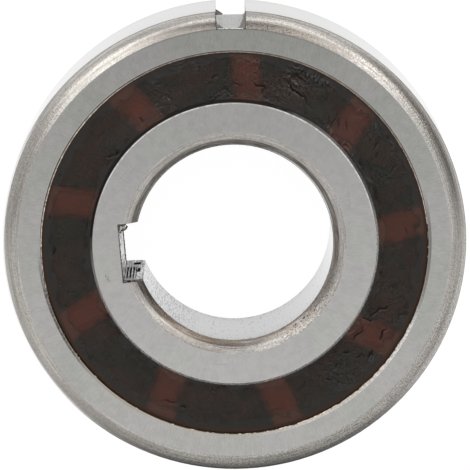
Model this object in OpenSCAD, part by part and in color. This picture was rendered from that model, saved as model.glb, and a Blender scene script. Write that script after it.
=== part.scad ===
// Sprag clutch bearing, keyed in both rings. Millimetres.
// A ball bearing whose cage also carries sprags between the balls. Seen from the front, the inner ring
// turns freely clockwise; turned the other way, it stands the sprags up until they jam the two rings.
// The axis is Z, the front is +Z, and the origin is the middle of the bore.

/* [Rings] */
// Diameter of the bore
bore_d = 20; // [18:0.5:25]
// Wall of the inner ring, from the bore to the track that the sprags grip
inner_wall = 4.6; // [4:0.1:6]
// Space between the two tracks, which the sprags stand in
sprag_space = 4.8; // [4.4:0.1:5.2]
// Wall of the outer ring, from its track to the outside
outer_wall = 4.1; // [3.8:0.1:6]
// Width of both rings
ring_w = 14; // [13.5:0.5:20]
// Width of the rounded corner at the bore, across the face
bore_corner_w = 1.34; // [1:0.02:1.6]
// Height of the corner at the bore, along the axis
bore_corner_h = 0.74; // [0.6:0.02:1]
// Radius of the rounding of the corner at the bore
bore_corner_r = 2.8; // [2:0.1:4]
// Width of the rounded corner at the outside, across the face
rim_corner_w = 1.62; // [1.2:0.02:1.8]
// Height of the corner at the outside, along the axis
rim_corner_h = 1.24; // [1:0.02:1.5]
// Radius of the rounding of the corner at the outside
rim_corner_r = 2.46; // [2.2:0.02:4]
// Chamfer on the inner ring's shoulder
shoulder_chamfer = 0.25; // [0.1:0.05:0.3]
// Chamfer on the mouth of the outer ring's shield recess
lip_chamfer = 0.1; // [0.05:0.05:0.25]

/* [Keyways] */
// Width of the keyway in the bore
bore_key_w = 6; // [4:0.5:7]
// Depth of the keyway in the bore, at its middle
bore_key_h = 1.6; // [1:0.1:2]
// Direction of the keyway in the bore, anticlockwise from +X
bore_key_angle = 184.2; // [0:0.1:359.9]
// Width of the keyway in the outside, which lies at +Y
rim_key_w = 3; // [2:0.5:5]
// Depth of the keyway in the outside
rim_key_h = 1.7; // [1:0.1:2]
// Radius at the root of both keyways
key_root_r = 0.3; // [0.1:0.05:0.4]

/* [Balls] */
// Number of balls, and of sprags between them
count = 9; // [6:1:9]
// Diameter of a ball
ball_d = 6.747; // [6:0.001:7.1]
// Radius of the ball grooves, as a share of the ball's diameter
groove_share = 0.52; // [0.515:0.005:0.54]

/* [Sprags] */
// Direction of the first sprag, anticlockwise from +X
first_sprag_angle = 4.9; // [0:0.1:39.9]
// Lean of a sprag, its outer end anticlockwise of its inner end
sprag_lean = 9; // [6:0.5:11]
// Thickness of a sprag across its shoulders
sprag_t = 2.7; // [2.3:0.1:2.9]
// How far the waist of a sprag is drawn in on each side
waist_h = 0.35; // [0.1:0.05:0.6]
// Radius of the waist's hollow
waist_r = 1.8; // [1.2:0.1:2.4]
// Radius of the cam that meets the inner track
inner_cam_r = 2.6; // [2.55:0.05:3.2]
// Radius of the cam that meets the outer track
outer_cam_r = 2.9; // [2.6:0.05:3.4]
// Angle at the axis between a sprag's pivot and each of its two grips
grip_angle = 0.7; // [0.4:0.1:1]
// Slope of the notch floors that the garter springs press on
notch_slope = 8; // [4:1:12]

/* [Cage] */
// Wall between the end of a sprag's slot and the cage's end face
end_wall = 0.25; // [0.2:0.05:0.5]
// Height of the rib that covers the end of each slot
rib_h = 0.45; // [0.2:0.05:0.5]
// Width of that rib
rib_w = 2.9; // [2.4:0.1:3.2]
// Wall between the bore of the cage and its grease windows
window_inner_wall = 0.7; // [0.5:0.1:1]
// Wall between the grease windows and the garter grooves
window_outer_wall = 0.5; // [0.4:0.1:0.8]
// Length of a grease window along the pitch circle, in degrees
window_angle = 19; // [15:1:20]
// Diameter of the pegs that snap the two halves together
peg_d = 0.8; // [0.6:0.1:0.9]
// Length of the pegs
peg_l = 1.2; // [0.8:0.1:1.6]
// Distance from a peg's middle to the outside of the cage
peg_inset = 0.8; // [0.7:0.1:1]

/* [Garter springs] */
// Diameter of the coil of a garter spring
garter_d = 0.9; // [0.7:0.05:1]
// Wall between a garter groove and the cage's end face
garter_wall = 0.45; // [0.4:0.05:0.6]
// Depth of the coil's outside below the outside of the cage
garter_inset = 0.15; // [0.05:0.05:0.25]

/* [Shields] */
// Thickness of the shields
shield_t = 0.35; // [0.2:0.05:0.4]
// Depth of the lip that holds a shield, from the ring's face
lip_h = 0.38; // [0.3:0.01:0.5]
// Width of the ledge that a shield rests on, beyond the track
ledge_w = 0.65; // [0.5:0.05:0.75]
// How far the lip reaches over the edge of a shield
lip_overlap = 0.5; // [0.25:0.05:0.5]

/* [Clearances] */
// Between the balls and both grooves
ball_gap = 0.02; // [0.01:0.005:0.04]
// Between the balls and their pockets
pocket_gap = 0.1; // [0.05:0.01:0.15]
// Between the sprags' cams and both tracks
cam_gap = 0.02; // [0.01:0.005:0.04]
// Between a sprag's side and its slot
slot_gap = 0.2; // [0.18:0.01:0.22]
// Between the end of a sprag and its slot
sprag_end_gap = 0.05; // [0.02:0.01:0.1]
// Between the cage and both tracks
cage_gap = 0.3; // [0.2:0.05:0.35]
// Between the cage's ribs and the shields
rib_gap = 0.17; // [0.1:0.01:0.25]
// Between a garter spring and the sides of its groove
garter_side_gap = 0.1; // [0.05:0.01:0.12]
// Between a garter spring and the floor of its groove
garter_floor_gap = 0.02; // [0.01:0.01:0.05]
// Between a garter spring and the floor of a sprag's notch
notch_gap = 0.2; // [0.18:0.01:0.24]
// Between a shield and the inner ring
shield_gap = 0.15; // [0.1:0.01:0.25]
// Around and above the edge of a shield in its groove
shield_play = 0.05; // [0.02:0.01:0.06]
// Around a peg in its socket
peg_gap = 0.03; // [0.02:0.01:0.05]

/* [Hidden] */
$fn = 96;
cut = 1; // how far a cutter runs past what it cuts
spacing = 360 / count;

// From the bore outwards: 20 mm at the bore gives 47 mm outside.
inner_track_d = bore_d + 2 * inner_wall;
outer_track_d = inner_track_d + 2 * sprag_space;
outside_d = outer_track_d + 2 * outer_wall;

bore_r = bore_d / 2;
outside_r = outside_d / 2;
face_z = ring_w / 2;
inner_track_r = inner_track_d / 2;
outer_track_r = outer_track_d / 2;
pitch_r = (inner_track_r + outer_track_r) / 2;

groove_r = groove_share * ball_d;
groove_reach = ball_d / 2 + ball_gap; // from the pitch circle to the bottom of either groove
pocket_r = ball_d / 2 + pocket_gap;

shield_groove_w = shield_t + shield_play;
ledge_z = face_z - lip_h - shield_groove_w;
ledge_r = outer_track_r + ledge_w;
lip_r = ledge_r - lip_overlap;
shield_in_r = inner_track_r + shield_gap;
shield_out_r = ledge_r - shield_play;

cage_in_r = inner_track_r + cage_gap;
cage_out_r = outer_track_r - cage_gap;
rib_z = ledge_z - rib_gap;
cage_z = rib_z - rib_h;
slot_z = cage_z - end_wall;
slot_w = sprag_t + 2 * slot_gap;

garter_groove_w = garter_d + 2 * garter_side_gap;
garter_z = cage_z - garter_wall - garter_groove_w / 2;
garter_r = cage_out_r - garter_inset - garter_d / 2;
garter_floor_r = garter_r - garter_d / 2 - garter_floor_gap;

sprag_z = slot_z - sprag_end_gap;
notch_z = garter_z - garter_groove_w / 2;
notch_r = garter_r - garter_d / 2 - notch_gap;
inner_cam_at = inner_track_r + cam_gap + inner_cam_r;
outer_cam_at = outer_track_r - cam_gap - outer_cam_r;

window_in_r = cage_in_r + window_inner_wall;
window_out_r = garter_floor_r - window_outer_wall;
window_w = window_out_r - window_in_r;
window_r = (window_in_r + window_out_r) / 2;

// A peg stands in the middle of the web between a ball's pocket and the slot anticlockwise of it.
peg_r = cage_out_r - peg_inset;
web_start = sqrt(pocket_r ^ 2 - (peg_r - pitch_r) ^ 2);
web_end = peg_r * PI / count + (peg_r - pitch_r) * tan(sprag_lean) - slot_w / 2 / cos(sprag_lean);
peg_angle = (web_start + web_end) / 2 / peg_r * 180 / PI;

function sprag_angle(i) = first_sprag_angle + (i - 1) * spacing;
function ball_angle(i) = sprag_angle(i) + spacing / 2;

// What is turned off a corner at the origin whose metal lies towards -X and -Y. It leaves a rounding of
// radius r that meets the face at width w and the side at height h, both at an edge, because the ring is
// ground after its corners are turned.
module corner_waste(w, h, r) {
    chord = sqrt(w ^ 2 + h ^ 2);
    reach = sqrt(r ^ 2 - chord ^ 2 / 4); // from the middle of the chord to the rounding's centre
    centre = [-w / 2 - reach * h / chord, -h / 2 - reach * w / chord];
    start = (centre - [w, h]) / 2; // here the rounding's circle stands clear of both the face and the side
    difference() {
        translate(start) square([cut, cut] - start);
        translate(centre) circle(r);
    }
}

// A keyway's cutter along Z: its floor is at distance floor_r on +X, and it runs towards the given side
module keyway(w, floor_r, side) {
    rooted = w - 2 * key_root_r;
    deep = 3 * key_root_r;
    linear_extrude(ring_w + 2 * cut, center = true)
        translate([floor_r, 0]) scale([side, 1]) {
            translate([0, -rooted / 2]) square([deep, rooted]);
            translate([key_root_r, -w / 2]) square([outside_r - lip_r + rim_key_h + cut, w]);
            for (y = [-1, 1]) translate([key_root_r, y * rooted / 2]) circle(key_root_r);
        }
}

module outer_ring_section() {
    difference() {
        translate([outer_track_r, -face_z]) square([outside_r - outer_track_r, ring_w]);
        translate([pitch_r + groove_reach - groove_r, 0]) circle(groove_r);
        for (side = [-1, 1]) scale([1, side]) {
            translate([outside_r, face_z]) corner_waste(rim_corner_w, rim_corner_h, rim_corner_r);
            polygon([
                [outer_track_r - cut, ledge_z],
                [ledge_r, ledge_z],
                [ledge_r, ledge_z + shield_groove_w],
                [lip_r, ledge_z + shield_groove_w],
                [lip_r, face_z - lip_chamfer],
                [lip_r + lip_chamfer, face_z],
                [lip_r + lip_chamfer, face_z + cut],
                [outer_track_r - cut, face_z + cut],
            ]);
        }
    }
}

module inner_ring_section() {
    difference() {
        translate([bore_r, -face_z]) square([inner_track_r - bore_r, ring_w]);
        translate([pitch_r - groove_reach + groove_r, 0]) circle(groove_r);
        for (side = [-1, 1]) scale([1, side]) {
            translate([bore_r, face_z]) scale([-1, 1])
                corner_waste(bore_corner_w, bore_corner_h, bore_corner_r);
            polygon([
                [inner_track_r - shoulder_chamfer, face_z],
                [inner_track_r, face_z - shoulder_chamfer],
                [inner_track_r + cut, face_z - shoulder_chamfer],
                [inner_track_r + cut, face_z + cut],
                [inner_track_r - shoulder_chamfer, face_z + cut],
            ]);
        }
    }
}

module outer_ring() {
    color("silver") difference() {
        rotate_extrude() outer_ring_section();
        rotate(90) keyway(rim_key_w, outside_r - rim_key_h, 1);
    }
}

module inner_ring() {
    color("silver") difference() {
        rotate_extrude() inner_ring_section();
        rotate(bore_key_angle) keyway(bore_key_w, bore_r + bore_key_h, -1);
    }
}

// The front shield, resting on the ledge of the outer ring
module shield() {
    color([0.32, 0.22, 0.17, 0.8]) difference() {
        translate([0, 0, ledge_z]) cylinder(h = shield_t, r = shield_out_r);
        translate([0, 0, ledge_z - cut]) cylinder(h = shield_t + 2 * cut, r = shield_in_r);
    }
}

module front_shield() {
    shield();
}

module rear_shield() {
    mirror([0, 0, 1]) shield();
}

module cage_section() {
    polygon([
        [cage_in_r, 0],
        [cage_out_r, 0],
        [cage_out_r, garter_z - garter_groove_w / 2],
        [garter_floor_r, garter_z - garter_groove_w / 2],
        [garter_floor_r, garter_z + garter_groove_w / 2],
        [cage_out_r, garter_z + garter_groove_w / 2],
        [cage_out_r, cage_z],
        [cage_in_r, cage_z],
    ]);
}

// A bar along a sprag's centre line, right through the cage from z = low to z = high
module leaning_bar(w, low, high) {
    length = 2 * (cage_out_r - cage_in_r);
    translate([pitch_r, 0, low]) rotate(sprag_lean)
        translate([-length / 2, -w / 2, 0]) cube([length, w, high - low]);
}

// The raised bar on the end of the cage that closes the slot of a sprag
module rib() {
    intersection() {
        leaning_bar(rib_w, cage_z - end_wall / 2, rib_z);
        difference() {
            cylinder(h = rib_z, r = cage_out_r);
            translate([0, 0, -cut]) cylinder(h = rib_z + 2 * cut, r = cage_in_r);
        }
    }
}

// A kidney-shaped hole from a ball's pocket out through the end of the cage
module grease_window() {
    round_end = asin(window_w / 2 / window_r);
    half = window_angle / 2 - round_end;
    rotate_extrude(angle = 2 * half, start = -half)
        translate([window_in_r, 0]) square([window_w, rib_z]);
    for (turn = [-half, half])
        rotate(turn) translate([window_r, 0, 0]) cylinder(h = rib_z, d = window_w);
}

// Place children where a peg joins the two halves, beside ball i
module at_peg(i) {
    rotate(ball_angle(i) + peg_angle) translate([peg_r, 0, 0]) children();
}

// Half of the cage, on the +Z side of the joint: one half has the pegs and the other their sockets
module cage_half(pegged) {
    socket_l = peg_l + peg_gap;
    difference() {
        union() {
            rotate_extrude() cage_section();
            if (pegged)
                for (i = [1:count]) at_peg(i) translate([0, 0, -peg_l]) cylinder(h = 2 * peg_l, d = peg_d);
        }
        for (i = [1:count]) {
            rotate(sprag_angle(i)) leaning_bar(slot_w, -cut, slot_z);
            rotate(ball_angle(i)) {
                translate([pitch_r, 0, 0]) sphere(pocket_r);
                grease_window();
            }
            if (!pegged)
                at_peg(i) translate([0, 0, -cut]) cylinder(h = socket_l + cut, d = peg_d + 2 * peg_gap);
        }
    }
    for (i = [1:count]) rotate(sprag_angle(i)) rib();
}

module cage_front() {
    color("sienna") cage_half(pegged = true);
}

module cage_rear() {
    color("sienna") mirror([0, 0, 1]) cage_half(pegged = false);
}

module garter_spring(side) {
    color("lightsteelblue") translate([0, 0, side * garter_z])
        rotate_extrude() translate([garter_r, 0]) circle(d = garter_d);
}

module ball(i) {
    color("gainsboro") rotate(ball_angle(i)) translate([pitch_r, 0, 0]) sphere(d = ball_d);
}

// A sprag's outline: two cams whose centres lie either side of the pivot, within two waisted sides
module sprag_section() {
    intersection() {
        rotate(-grip_angle) translate([inner_cam_at, 0]) circle(inner_cam_r);
        rotate(grip_angle) translate([outer_cam_at, 0]) circle(outer_cam_r);
        translate([pitch_r, 0]) rotate(sprag_lean) difference() {
            square([2 * outer_cam_r, sprag_t], center = true);
            for (side = [-1, 1])
                translate([0, side * (sprag_t / 2 - waist_h + waist_r)]) circle(waist_r);
        }
    }
}

// What a notch takes off the outer side of a sprag's end: its floor falls away anticlockwise
module notch_waste() {
    translate([notch_r, -sprag_t / 2]) rotate(notch_slope)
        translate([0, -sprag_t]) square([2 * outer_cam_r, 3 * sprag_t]);
}

module sprag(i) {
    color("lightslategray") rotate(sprag_angle(i)) difference() {
        linear_extrude(2 * sprag_z, center = true) sprag_section();
        for (side = [-1, 1]) scale([1, 1, side])
            translate([0, 0, notch_z]) linear_extrude(sprag_z) notch_waste();
    }
}

outer_ring();
inner_ring();
front_shield();
rear_shield();
cage_front();
cage_rear();
garter_spring(1);  // garter_spring_front
garter_spring(-1);  // garter_spring_rear
for (i = [1:count]) ball(i);
for (i = [1:count]) sprag(i);
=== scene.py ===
"""A sprag clutch bearing, keyed in both rings, lying on its rear face with the front shield up."""

import math

import bmesh
import bpy
from mathutils import Matrix, Vector, noise


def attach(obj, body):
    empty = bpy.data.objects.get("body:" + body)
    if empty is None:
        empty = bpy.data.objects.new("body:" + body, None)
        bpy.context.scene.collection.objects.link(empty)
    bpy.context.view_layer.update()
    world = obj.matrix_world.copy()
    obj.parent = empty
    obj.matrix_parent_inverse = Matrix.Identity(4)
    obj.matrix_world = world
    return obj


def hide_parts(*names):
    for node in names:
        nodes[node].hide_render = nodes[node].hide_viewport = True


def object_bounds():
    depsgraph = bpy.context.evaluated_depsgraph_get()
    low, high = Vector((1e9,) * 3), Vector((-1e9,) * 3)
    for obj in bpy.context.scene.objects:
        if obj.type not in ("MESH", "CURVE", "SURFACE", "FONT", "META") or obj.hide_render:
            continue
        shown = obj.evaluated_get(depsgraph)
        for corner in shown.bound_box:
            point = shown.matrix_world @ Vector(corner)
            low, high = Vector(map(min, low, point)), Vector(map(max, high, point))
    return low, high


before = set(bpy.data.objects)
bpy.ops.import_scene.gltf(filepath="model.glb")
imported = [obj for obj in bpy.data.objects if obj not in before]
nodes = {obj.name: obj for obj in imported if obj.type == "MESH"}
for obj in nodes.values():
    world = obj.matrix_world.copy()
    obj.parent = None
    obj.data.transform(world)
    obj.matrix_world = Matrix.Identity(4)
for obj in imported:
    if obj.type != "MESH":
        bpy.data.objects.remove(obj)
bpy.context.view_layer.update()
MM = 0.001


# The view. A long lens looks almost straight at the front of the clutch, from a little above it, so
# the outside of the outer ring shows along the top and the far wall of the bore shows below.
view_height = math.radians(9.0)
view_turn = math.radians(0.27)
view_roll = math.radians(-1.0)
view_distance = 435 * MM
aim_right, aim_up = 0.092 * MM, -0.21 * MM

right = Vector((math.cos(view_turn), math.sin(view_turn) * math.sin(view_height),
                math.sin(view_turn) * math.cos(view_height)))
up = Vector((0, math.cos(view_height), -math.sin(view_height)))
back = right.cross(up)
camera = bpy.data.objects.new("camera", bpy.data.cameras.new("camera"))
camera.data.lens = 324.6
camera.data.sensor_width = 36
camera.data.clip_start = 10 * MM
camera.data.clip_end = 10
place = Matrix((right, up, back)).transposed().to_4x4()
place.translation = aim_right * right + aim_up * up + view_distance * back
camera.matrix_world = Matrix.Rotation(view_roll, 4, "Z") @ place
bpy.context.scene.collection.objects.link(camera)
bpy.context.scene.camera = camera
bpy.context.scene.view_settings.view_transform = "Standard"


# The light. A soft grey room, dimmer straight in front where the camera stands, with a few darker
# places round it, two large softboxes, upper left and upper right, and two strip lights at the top.
def put(tree, kind, inputs=None, **settings):
    """Add a node with its settings, and give its inputs a value or the socket that feeds them."""
    made = tree.nodes.new(kind)
    for name, value in settings.items():
        setattr(made, name, value)
    for name, value in (inputs or {}).items():
        if isinstance(value, bpy.types.NodeSocket):
            tree.links.new(value, made.inputs[name])
        else:
            made.inputs[name].default_value = value
    return made


def calc(tree, operation, *values):
    """A Math node on up to three values or sockets."""
    return put(tree, "ShaderNodeMath", dict(enumerate(values)), operation=operation).outputs[0]


def times(tree, *values):
    """The product of several values."""
    product = values[0]
    for value in values[1:]:
        product = calc(tree, "MULTIPLY", product, value)
    return product


def vector(tree, operation, *values):
    """A Vector Math node on up to three vectors or sockets."""
    made = put(tree, "ShaderNodeVectorMath", dict(enumerate(values)), operation=operation)
    return made.outputs["Value" if operation in ("DISTANCE", "LENGTH", "DOT_PRODUCT") else "Vector"]


def ease(tree, value, low, high, to_low=0.0, to_high=1.0):
    """A soft step: to_low where the value is below low, to_high where it is above high."""
    return put(tree, "ShaderNodeMapRange", {"Value": value, "From Min": low, "From Max": high,
               "To Min": to_low, "To Max": to_high}, interpolation_type="SMOOTHSTEP").outputs[0]


def toward_room(azimuth, polar):
    """The direction with that azimuth from +X and that angle from +Z, in degrees."""
    az, po = math.radians(azimuth), math.radians(polar)
    return Vector((math.cos(az) * math.sin(po), math.sin(az) * math.sin(po), math.cos(po)))


room_grey = 0.90
horizon_grey = 0.80
dark_places = [
    # azimuth, angle from +Z, radius of the darkest part, radius where it ends, share of light left
    (-90, 4.2, 0.5, 9.2, 0.37),
    (90, 44, 8, 22, 0.30),
    (12, 58, 8, 30, 0.60),
    (163, 50, 8, 26, 0.66),
    (25, 86, 15, 31, 0.26),
]

world = bpy.data.worlds.new("studio")
bpy.context.scene.world = world
world.use_nodes = True
tree = world.node_tree
tree.nodes.clear()
direction = put(tree, "ShaderNodeTexCoord").outputs["Generated"]
height = put(tree, "ShaderNodeSeparateXYZ", {"Vector": direction}).outputs["Z"]
strength = times(tree, ease(tree, height, -0.1, 0.8, horizon_grey, 1.0), room_grey)
for azimuth, polar, inner, outer, left in dark_places:
    away = vector(tree, "DISTANCE", direction, tuple(toward_room(azimuth, polar)))
    near, far = (2 * math.sin(math.radians(angle) / 2) for angle in (inner, outer))
    strength = times(tree, strength, ease(tree, away, near, far, left, 1.0))
sky = put(tree, "ShaderNodeBackground", {"Color": (1.0, 0.99, 0.97, 1), "Strength": strength})
put(tree, "ShaderNodeOutputWorld", {"Surface": sky.outputs[0]})


def softbox(name, azimuth, polar, width, depth, glow, distance=0.5):
    """A lamp that shines on the clutch from that direction, as bright as glow over its whole face."""
    lamp = bpy.data.lights.new(name, "AREA")
    lamp.shape = "RECTANGLE"
    lamp.size, lamp.size_y = width, depth
    lamp.energy = glow * 4 * width * depth
    lamp.color = (1.0, 0.985, 0.96)
    box = bpy.data.objects.new(name, lamp)
    box.location = distance * toward_room(azimuth, polar)
    box.rotation_euler = box.location.to_track_quat("Z", "Y").to_euler()
    box.visible_camera = False
    bpy.context.scene.collection.objects.link(box)


softbox("softbox_right", 50, 48, 0.27, 0.42, 1.05)
softbox("softbox_left", 129, 47, 0.28, 0.46, 0.95)
softbox("strip_top", 92, 65, 0.22, 0.11, 1.0)
softbox("strip_right", 71, 75, 0.16, 0.13, 0.9)


# The floor. A white table under the rear face, which gets greyer away from the clutch and keeps a
# faint shadow. In reflections it is white only close to the clutch, and dark in front of it.
def own_place(tree):
    """Where a point lies on its piece."""
    return put(tree, "ShaderNodeTexCoord").outputs["Object"]


def inverse(tree, share):
    """What is left of a share."""
    return calc(tree, "SUBTRACT", 1.0, share)


floor_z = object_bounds()[0][2]
floor_size = 1.2
corners = [(x * floor_size, y * floor_size, floor_z) for x, y in ((-1, -1), (1, -1), (1, 1), (-1, 1))]
floor = bpy.data.objects.new("floor", bpy.data.meshes.new("floor"))
floor.data.from_pydata(corners, [], [(0, 1, 2, 3)])
bpy.context.scene.collection.objects.link(floor)
table_top = bpy.data.materials.new("white_table")
table_top.use_nodes = True
tree = table_top.node_tree
tree.nodes.clear()
spot = own_place(tree)
far = vector(tree, "DISTANCE", spot, (0, 0, floor_z))
path = put(tree, "ShaderNodeLightPath")
mirrored = calc(tree, "ADD", path.outputs["Is Glossy Ray"], path.outputs["Is Transmission Ray"])
seen = calc(tree, "MINIMUM", 1.0, calc(tree, "ADD", path.outputs["Is Camera Ray"], mirrored))
direct = ease(tree, far, 0.12, 0.6, 0.96, 0.5)
in_metal = ease(tree, far, 0.025, 0.055, 1.0, 0.9)
outward = vector(tree, "NORMALIZE", vector(tree, "MULTIPLY", spot, (1, 1, 0)))
ahead = vector(tree, "DOT_PRODUCT", outward, (0.05, -1, 0))
ahead = times(tree, ease(tree, ahead, 0.62, 0.97), ease(tree, far, 0.027, 0.034))
in_metal = times(tree, in_metal, calc(tree, "MULTIPLY_ADD", ahead, -0.83, 1.0))
shown = calc(tree, "ADD", times(tree, mirrored, in_metal),
             times(tree, inverse(tree, mirrored), direct))
glow = put(tree, "ShaderNodeEmission", {"Color": (1, 1, 1, 1), "Strength": shown})
paint = put(tree, "ShaderNodeBsdfDiffuse", {"Color": (0.10, 0.10, 0.10, 1)})
seen_top = put(tree, "ShaderNodeAddShader", {0: glow.outputs[0], 1: paint.outputs[0]})
plain_top = put(tree, "ShaderNodeBsdfDiffuse", {"Color": (0.78, 0.78, 0.77, 1)})
both = put(tree, "ShaderNodeMixShader", {0: seen, 1: plain_top.outputs[0], 2: seen_top.outputs[0]})
put(tree, "ShaderNodeOutputMaterial", {"Surface": both.outputs[0]})
floor.data.materials.append(table_top)


# The outer ring. Hardened bearing steel, ground on its faces and outside. Its corners were turned before
# that and are left speckled and a little brown, and its keyway is cut through to both faces.
def mix(tree, share, first, second):
    """Two colours mixed by a share."""
    return put(tree, "ShaderNodeMix", {"Factor": share, 6: first, 7: second}, data_type="RGBA").outputs[2]


def stain(tree, base, tint, *shares):
    """A colour with a tint laid over it, by the product of some shares."""
    return mix(tree, times(tree, *shares), base, tint)


def added(tree, value, share, amount):
    """A value with an amount added to it by a share."""
    return calc(tree, "MULTIPLY_ADD", share, amount, value)


def most(tree, *values):
    """The highest of several values."""
    highest = values[0]
    for value in values[1:]:
        highest = calc(tree, "MAXIMUM", highest, value)
    return highest


def grain_at(tree, where, scale=1.0, detail=2.0, roughness=0.5):
    """Soft random grain at a place, from 0 to 1."""
    return put(tree, "ShaderNodeTexNoise", {"Vector": where, "Scale": scale, "Detail": detail,
               "Roughness": roughness}).outputs["Fac"]


def group(name, inputs, outputs):
    """A new shader node group with those number sockets; returns its tree, input and output nodes."""
    tree = bpy.data.node_groups.new(name, "ShaderNodeTree")
    for socket, value in inputs.items():
        made = tree.interface.new_socket(socket, in_out="INPUT", socket_type="NodeSocketFloat")
        made.default_value = value
    for socket in outputs:
        tree.interface.new_socket(socket, in_out="OUTPUT", socket_type="NodeSocketFloat")
    return tree, tree.nodes.new("NodeGroupInput").outputs, tree.nodes.new("NodeGroupOutput").inputs


def use(tree, made_group, values=None, output=0):
    """Place a node group with those inputs, and return one of its outputs."""
    return put(tree, "ShaderNodeGroup", values, node_tree=made_group).outputs[output]


def new_material(name):
    """An empty node material and its tree."""
    made = bpy.data.materials.new(name)
    made.use_nodes = True
    made.node_tree.nodes.clear()
    return made, made.node_tree


def finish(tree, base, roughness, metallic=0.0, **inputs):
    """The material's shader, on its output."""
    values = {"Base Color": base, "Roughness": roughness, "Metallic": metallic}
    values.update({name.replace("_", " "): value for name, value in inputs.items()})
    shader = put(tree, "ShaderNodeBsdfPrincipled", values)
    put(tree, "ShaderNodeOutputMaterial", {"Surface": shader.outputs[0]})


def finish_with(node, material):
    """Give a node of the frame its finish."""
    nodes[node].data.materials.clear()
    nodes[node].data.materials.append(material)


# Radius from the axis and height, both in millimetres.
radius_group, given, out = group("radius", {}, ["Radius", "Height"])
point = own_place(radius_group)
long = vector(radius_group, "LENGTH", vector(radius_group, "MULTIPLY", point, (1, 1, 0)))
level = put(radius_group, "ShaderNodeSeparateXYZ", {"Vector": point}).outputs["Z"]
radius_group.links.new(calc(radius_group, "DIVIDE", long, MM), out["Radius"])
radius_group.links.new(calc(radius_group, "DIVIDE", level, MM), out["Height"])

# Strokes that a wheel or a tool leaves on a ring: "Around" and "Across" are how many there are to the
# turn and to the millimetre of radius, so a low "Across" gives radial strokes and a low "Around" rings.
stroke_group, given, out = group("strokes", {"Around": 60.0, "Across": 0.5, "Seed": 0.0}, ["Stroke"])
point = own_place(stroke_group)
turn = vector(stroke_group, "NORMALIZE", vector(stroke_group, "MULTIPLY", point, (1, 1, 0)))
turned = put(stroke_group, "ShaderNodeVectorMath", {0: turn, "Scale": given["Around"]},
             operation="SCALE").outputs[0]
deep = calc(stroke_group, "MULTIPLY_ADD", use(stroke_group, radius_group), given["Across"], given["Seed"])
where = vector(stroke_group, "ADD", turned,
               put(stroke_group, "ShaderNodeCombineXYZ", {"Z": deep}).outputs[0])
stroke_group.links.new(grain_at(stroke_group, where, detail=3.0, roughness=0.6), out["Stroke"])

# Speckle: round grain of a given size in millimetres, with a share of it standing out.
speckle_group, given, out = group("speckle", {"Size": 0.1, "From": 0.5, "To": 0.7, "Seed": 0.0}, ["Speckle"])
point = own_place(speckle_group)
shift = put(speckle_group, "ShaderNodeCombineXYZ", {"X": given["Seed"]}).outputs[0]
shifted = vector(speckle_group, "ADD", point, shift)
grain = grain_at(speckle_group, shifted, calc(speckle_group, "DIVIDE", 1 / MM, given["Size"]))
speckle_group.links.new(ease(speckle_group, grain, given["From"], given["To"]), out["Speckle"])


def speckle(tree, size, low, high, seed=0.0):
    """Place the speckle group."""
    return use(tree, speckle_group, {"Size": size, "From": low, "To": high, "Seed": seed})


def drawn_grain(tree, across, along, low, high, seed=0.0):
    """Grain drawn out along the axis: how many to the millimetre across and along, and its soft step."""
    size = (across / MM, across / MM, along / MM)
    stretched = vector(tree, "MULTIPLY_ADD", own_place(tree), size, (seed, seed, seed))
    return ease(tree, grain_at(tree, stretched), low, high)


def strokes(tree, around, across, seed=0.0):
    """Place the stroke group."""
    return use(tree, stroke_group, {"Around": around, "Across": across, "Seed": seed})


def band(tree, value, low, high, soft):
    """1 between two values and 0 outside them."""
    return times(tree, ease(tree, value, low - soft, low + soft),
                 ease(tree, value, high - soft, high + soft, 1.0, 0.0))


def toward(tree, angle, half, soft):
    """1 on the stretch of a ring that lies within half degrees of an angle from +X."""
    a = math.radians(angle)
    turn = vector(tree, "NORMALIZE", vector(tree, "MULTIPLY", own_place(tree), (1, 1, 0)))
    near = vector(tree, "DOT_PRODUCT", turn, (math.cos(a), math.sin(a), 0))
    outer, inner = (math.cos(math.radians(edge)) for edge in (half + soft, max(0, half - soft)))
    return ease(tree, near, outer, inner)


def side_on(tree, angle):
    """How far a point lies along an angle from +X and across it, in millimetres."""
    a = math.radians(angle)
    point = own_place(tree)
    along = vector(tree, "DOT_PRODUCT", point, (math.cos(a) / MM, math.sin(a) / MM, 0))
    across = vector(tree, "DOT_PRODUCT", point, (-math.sin(a) / MM, math.cos(a) / MM, 0))
    return along, across


def scratch(tree, angle, radius, length, width, heading):
    """1 on a short scratch, from its middle, length, width and heading from the radius."""
    a = math.radians(angle)
    h = a + math.radians(heading)
    point = own_place(tree)
    offset = vector(tree, "SUBTRACT", point, (radius * math.cos(a) * MM, radius * math.sin(a) * MM, 0))
    along = calc(tree, "ABSOLUTE",
                 vector(tree, "DOT_PRODUCT", offset, (math.cos(h) / MM, math.sin(h) / MM, 0)))
    across = calc(tree, "ABSOLUTE",
                  vector(tree, "DOT_PRODUCT", offset, (-math.sin(h) / MM, math.cos(h) / MM, 0)))
    return times(tree, ease(tree, along, 0.3 * length, 0.5 * length, 1.0, 0.0),
                 ease(tree, across, 0.2 * width, 0.5 * width, 1.0, 0.0))


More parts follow.
